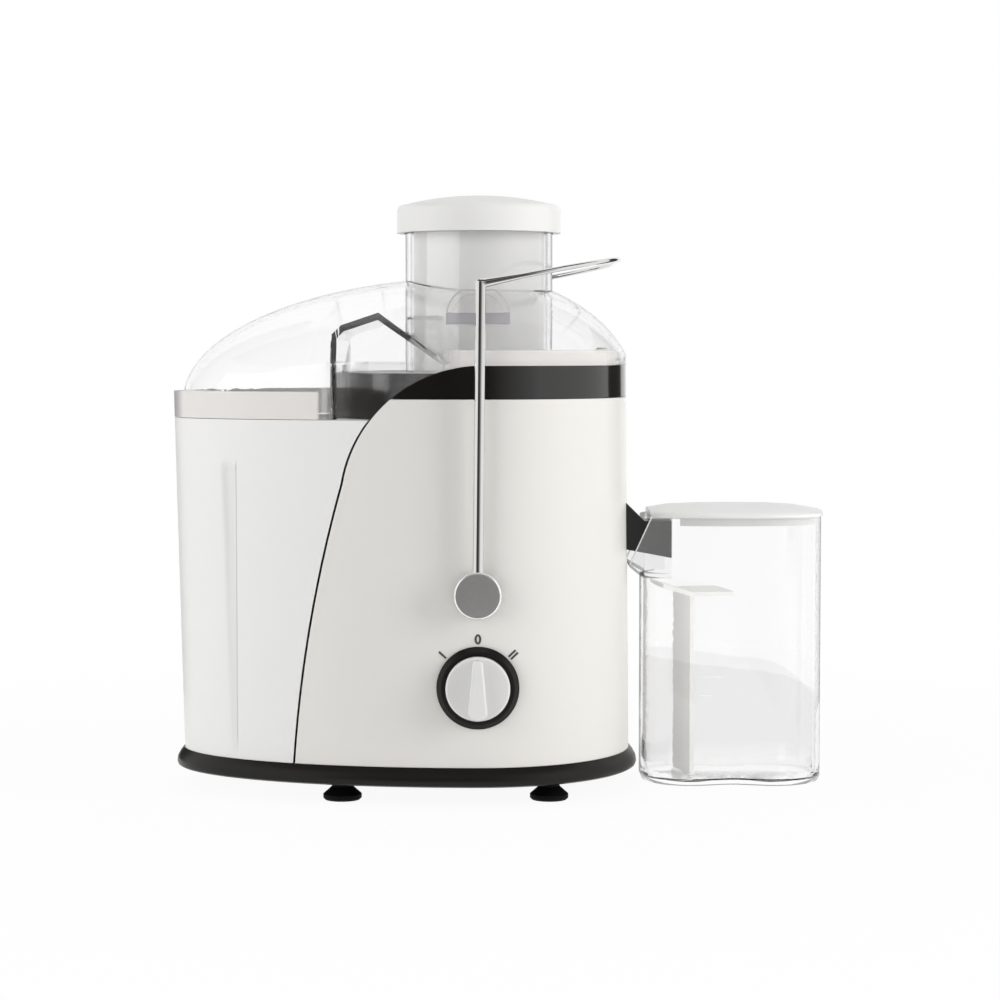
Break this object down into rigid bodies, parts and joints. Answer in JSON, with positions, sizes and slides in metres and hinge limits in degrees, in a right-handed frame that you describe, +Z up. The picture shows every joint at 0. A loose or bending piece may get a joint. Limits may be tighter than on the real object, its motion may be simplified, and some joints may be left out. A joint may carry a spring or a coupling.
{
  "type": "centrifugal juicer",
  "caption": "Compact centrifugal juicer with a clear domed lid, feed chute and pusher, locking bail, pulp container, speed knob, spout and a lidded juice jug.",
  "frame": {"origin": "middle of the footprint on the table, under the feet", "axes": "+X from the pulp container to the jug, -Y is the front with the knob, +Z up"},
  "size_m": [0.3566, 0.1914, 0.3214],
  "materials": {
    "housing_white": "satin pearl",
    "container_white": "satin",
    "cap_white": "satin",
    "base_charcoal": "satin",
    "bowl_black": "gloss",
    "spout_black": "satin",
    "clear_plastic": "clear",
    "jug_lid_white": "translucent",
    "rubber_black": "matte",
    "chrome": "polished",
    "satin_steel": "satin",
    "knob_silver": "satin",
    "bezel_black": "satin",
    "inner_plastic": "matte",
    "zinc_steel": "plain",
    "lamination": "dull",
    "copper": "enamelled",
    "carbon": "matte"
  },
  "bodies": {
    "body": {"base_tray": "base_charcoal", "base_screws": "zinc_steel", "foot_front_left": "rubber_black", "foot_rear_left": "rubber_black", "foot_front_right": "rubber_black", "foot_rear_right": "rubber_black", "motor_housing": "housing_white", "cord_gland": "rubber_black", "juice_bowl": "bowl_black", "juice_spout": "spout_black", "deck_seal": "rubber_black", "pivot_bush_front": "inner_plastic", "pivot_bush_rear": "inner_plastic", "interlock_switch": "bezel_black", "knob_bezel": "bezel_black", "rotary_switch": "bezel_black", "motor_bracket_upper": "zinc_steel", "motor_bracket_lower": "zinc_steel", "tie_bolts": "zinc_steel", "motor_spacers": "zinc_steel", "motor_dampers": "rubber_black", "motor_screws": "zinc_steel", "stator_core": "lamination", "stator_coils": "copper", "upper_bearing": "zinc_steel", "lower_bearing": "zinc_steel", "carbon_brushes": "carbon", "brush_holders": "copper"},
    "spinner": {"motor_shaft": "zinc_steel", "armature_core": "lamination", "armature_windings": "copper", "commutator": "copper", "cooling_fan": "inner_plastic", "drive_coupling": "bezel_black", "basket_hub": "cap_white", "grater_disc": "satin_steel", "filter_mesh": "satin_steel", "basket_rim": "cap_white"},
    "knob": {"speed_knob": "knob_silver", "knob_spindle": "inner_plastic"},
    "bail": {"bail_handle": "chrome", "pivot_cap_front": "satin_steel", "pivot_cap_rear": "satin_steel", "pivot_pin_front": "zinc_steel", "pivot_pin_rear": "zinc_steel", "pivot_clips": "zinc_steel", "interlock_cam": "inner_plastic"},
    "lid": {"lid_cover": "clear_plastic", "feed_chute": "clear_plastic", "pulp_hood": "clear_plastic"},
    "pusher": {"pusher_body": "cap_white", "pusher_cap": "cap_white"},
    "container": {"pulp_container": "container_white"},
    "jug": {"juice_jug": "clear_plastic"},
    "jug_cover": {"jug_lid": "jug_lid_white"},
    "separator": {"foam_separator": "jug_lid_white"}
  },
  "joints": [
    {"name": "motor_spin", "type": "hinge", "parent": "body", "child": "spinner", "pos_m": [-0.01153, 0.00014, 0.1], "axis": [0, 0, 1], "continuous": true},
    {"name": "knob_turn", "type": "hinge", "parent": "body", "child": "knob", "pos_m": [-0.01153, -0.08386, 0.0622], "axis": [0, 1, 0], "range_deg": [-45, 45]},
    {"name": "bail_swing", "type": "hinge", "parent": "body", "child": "bail", "pos_m": [-0.01153, 0.00014, 0.111], "axis": [0, 1, 0], "range_deg": [0, 40]},
    {"name": "lid_lift", "type": "slide", "parent": "body", "child": "lid", "axis": [0, 0, 1], "range_m": [0, 0.028]},
    {"name": "pusher_slide", "type": "slide", "parent": "lid", "child": "pusher", "axis": [0, 0, 1], "range_m": [0, 0.112]},
    {"name": "container_slide", "type": "slide", "parent": "body", "child": "container", "axis": [-1, 0, 0], "range_m": [0, 0.09]},
    {"name": "jug_slide", "type": "slide", "parent": "body", "child": "jug", "axis": [1, 0, 0], "range_m": [0, 0.06]},
    {"name": "jug_lid_lift", "type": "slide", "parent": "jug", "child": "jug_cover", "axis": [0, 0, 1], "range_m": [0, 0.025]},
    {"name": "separator_lift", "type": "slide", "parent": "jug", "child": "separator", "axis": [0, 0, 1], "range_m": [0, 0.01]}
  ]
}
